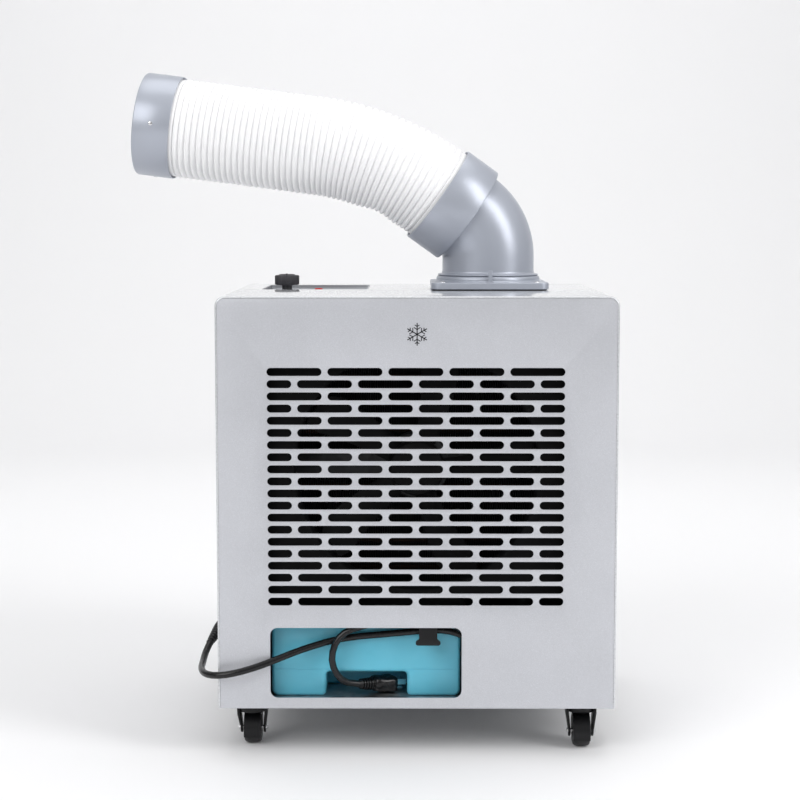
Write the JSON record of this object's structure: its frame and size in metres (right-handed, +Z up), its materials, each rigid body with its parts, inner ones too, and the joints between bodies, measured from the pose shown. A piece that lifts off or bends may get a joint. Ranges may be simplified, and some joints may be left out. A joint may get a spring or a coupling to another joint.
{
  "type": "portable air conditioner",
  "caption": "Spot air conditioner: a silver sheet-metal cube on swivel casters with a slotted grille, a tank bay, and a swivelling elbow with a ribbed air hose on top.",
  "frame": {"origin": "on the floor under the middle of the box round the object, its mains lead left out", "axes": "+Z up, -Y towards the front grille, +X to the right as seen from the front; the air hose points towards -X"},
  "size_m": [0.5059, 0.3564, 0.6977],
  "materials": {
    "silver_paint": "fine-grained silver powder coat, satin",
    "zinc_steel": "galvanised sheet",
    "grey_plastic": "moulded grey-blue plastic, satin gloss",
    "white_hose": "ribbed flexible white duct",
    "cyan_plastic": "translucent cyan blow-moulded plastic",
    "black_plastic": "moulded",
    "red_plastic": "translucent red rocker",
    "foam": "closed-cell foam",
    "black_paint": "semi-gloss black",
    "dark_tread": "hard caster tread",
    "bright_steel": "bright plated",
    "fin_aluminium": "finned coil",
    "copper": "drawn copper tube",
    "black_rubber": "black rubber and PVC"
  },
  "bodies": {
    "cabinet": {"casing": "silver_paint", "front_panel": "silver_paint", "rear_panel": "silver_paint", "base_pan": "zinc_steel", "bay_cover": "zinc_steel", "partition": "zinc_steel", "fan_motor": "zinc_steel", "blower_motor": "zinc_steel", "outlet_flange": "grey_plastic", "electrics_box": "grey_plastic", "tank_stop": "black_plastic", "drain_pan": "black_plastic", "control_tray": "black_plastic", "thermostat_body": "black_plastic", "switch_frame": "black_plastic", "fan_shroud": "black_plastic", "blower_housing": "black_plastic", "outlet_gasket": "foam", "compressor": "black_paint", "caster_front_left_mount": "black_paint", "caster_front_right_mount": "black_paint", "caster_rear_left_mount": "black_paint", "caster_rear_right_mount": "black_paint", "condenser_coil": "fin_aluminium", "evaporator_coil": "fin_aluminium", "discharge_pipe": "copper", "suction_pipe": "copper", "liquid_pipe": "copper", "compressor_foot_1": "black_rubber", "compressor_foot_2": "black_rubber", "compressor_foot_3": "black_rubber", "drain_tube": "black_rubber", "cord_gland": "black_rubber", "lead_front": "black_rubber", "lead_coil": "black_rubber", "lead_return": "black_rubber", "plug": "black_rubber"},
    "tank": {"water_tank": "cyan_plastic"},
    "thermostat": {"thermostat_knob": "black_plastic"},
    "rocker": {"power_rocker": "red_plastic"},
    "latch": {"elbow_latch": "grey_plastic"},
    "elbow": {"outlet_elbow": "grey_plastic", "hose_collar": "grey_plastic", "air_hose": "white_hose"},
    "nozzle": {"nozzle_collar": "grey_plastic"},
    "fan": {"condenser_fan": "black_plastic"},
    "blower": {"blower_wheel": "black_plastic"},
    "fork_front_left": {"caster_front_left_fork": "black_plastic", "caster_front_left_axle": "bright_steel"},
    "wheel_front_left": {"caster_front_left_wheel": "dark_tread"},
    "fork_front_right": {"caster_front_right_fork": "black_plastic", "caster_front_right_axle": "bright_steel"},
    "wheel_front_right": {"caster_front_right_wheel": "dark_tread"},
    "fork_rear_left": {"caster_rear_left_fork": "black_plastic", "caster_rear_left_axle": "bright_steel"},
    "wheel_rear_left": {"caster_rear_left_wheel": "dark_tread"},
    "fork_rear_right": {"caster_rear_right_fork": "black_plastic", "caster_rear_right_axle": "bright_steel"},
    "wheel_rear_right": {"caster_rear_right_wheel": "dark_tread"}
  },
  "joints": [
    {"name": "tank_slide", "type": "slide", "parent": "cabinet", "child": "tank", "axis": [0, 1, 0], "range_m": [0, 0.3]},
    {"name": "thermostat_turn", "type": "hinge", "parent": "cabinet", "child": "thermostat", "pos_m": [-0.091, 0.065, 0.4666], "axis": [0, 0, 1], "range_deg": [-135, 135]},
    {"name": "rocker_tip", "type": "hinge", "parent": "cabinet", "child": "rocker", "pos_m": [-0.0555, 0.065, 0.4575], "axis": [1, 0, 0], "range_deg": [0, 14]},
    {"name": "latch_release", "type": "hinge", "parent": "cabinet", "child": "latch", "pos_m": [0.131, -0.0256, 0.4725], "axis": [1, 0, 0], "range_deg": [0, 12], "stiffness_Nm_per_rad": 0.03},
    {"name": "elbow_swivel", "type": "hinge", "parent": "cabinet", "child": "elbow", "pos_m": [0.131, 0.032, 0.4806], "axis": [0, 0, 1], "continuous": true},
    {"name": "hose_bend", "type": "hinge", "parent": "elbow", "child": "nozzle", "pos_m": [-0.06466, 0.0267, 0.61958], "axis": [0.0819, 0.9966, 0], "range_deg": [-25, 35], "deforming": ["air_hose"]},
    {"name": "condenser_fan_spin", "type": "hinge", "parent": "cabinet", "child": "fan", "pos_m": [0.0525, -0.139, 0.29], "axis": [0, 1, 0], "continuous": true},
    {"name": "blower_spin", "type": "hinge", "parent": "cabinet", "child": "blower", "pos_m": [0.11, 0.003, 0.335], "axis": [0, 1, 0], "continuous": true},
    {"name": "front_left_swivel", "type": "hinge", "parent": "cabinet", "child": "fork_front_left", "pos_m": [-0.1165, -0.1255, 0.0455], "axis": [0, 0, 1], "continuous": true},
    {"name": "front_left_roll", "type": "hinge", "parent": "fork_front_left", "child": "wheel_front_left", "pos_m": [-0.1165, -0.1195, 0.016], "axis": [1, 0, 0], "continuous": true},
    {"name": "front_right_swivel", "type": "hinge", "parent": "cabinet", "child": "fork_front_right", "pos_m": [0.2215, -0.1255, 0.0455], "axis": [0, 0, 1], "continuous": true},
    {"name": "front_right_roll", "type": "hinge", "parent": "fork_front_right", "child": "wheel_front_right", "pos_m": [0.2215, -0.1315, 0.016], "axis": [1, 0, 0], "continuous": true},
    {"name": "rear_left_swivel", "type": "hinge", "parent": "cabinet", "child": "fork_rear_left", "pos_m": [-0.1165, 0.1255, 0.0455], "axis": [0, 0, 1], "continuous": true},
    {"name": "rear_left_roll", "type": "hinge", "parent": "fork_rear_left", "child": "wheel_rear_left", "pos_m": [-0.1165, 0.1315, 0.016], "axis": [1, 0, 0], "continuous": true},
    {"name": "rear_right_swivel", "type": "hinge", "parent": "cabinet", "child": "fork_rear_right", "pos_m": [0.2215, 0.1255, 0.0455], "axis": [0, 0, 1], "continuous": true},
    {"name": "rear_right_roll", "type": "hinge", "parent": "fork_rear_right", "child": "wheel_rear_right", "pos_m": [0.2215, 0.1315, 0.016], "axis": [1, 0, 0], "continuous": true}
  ]
}
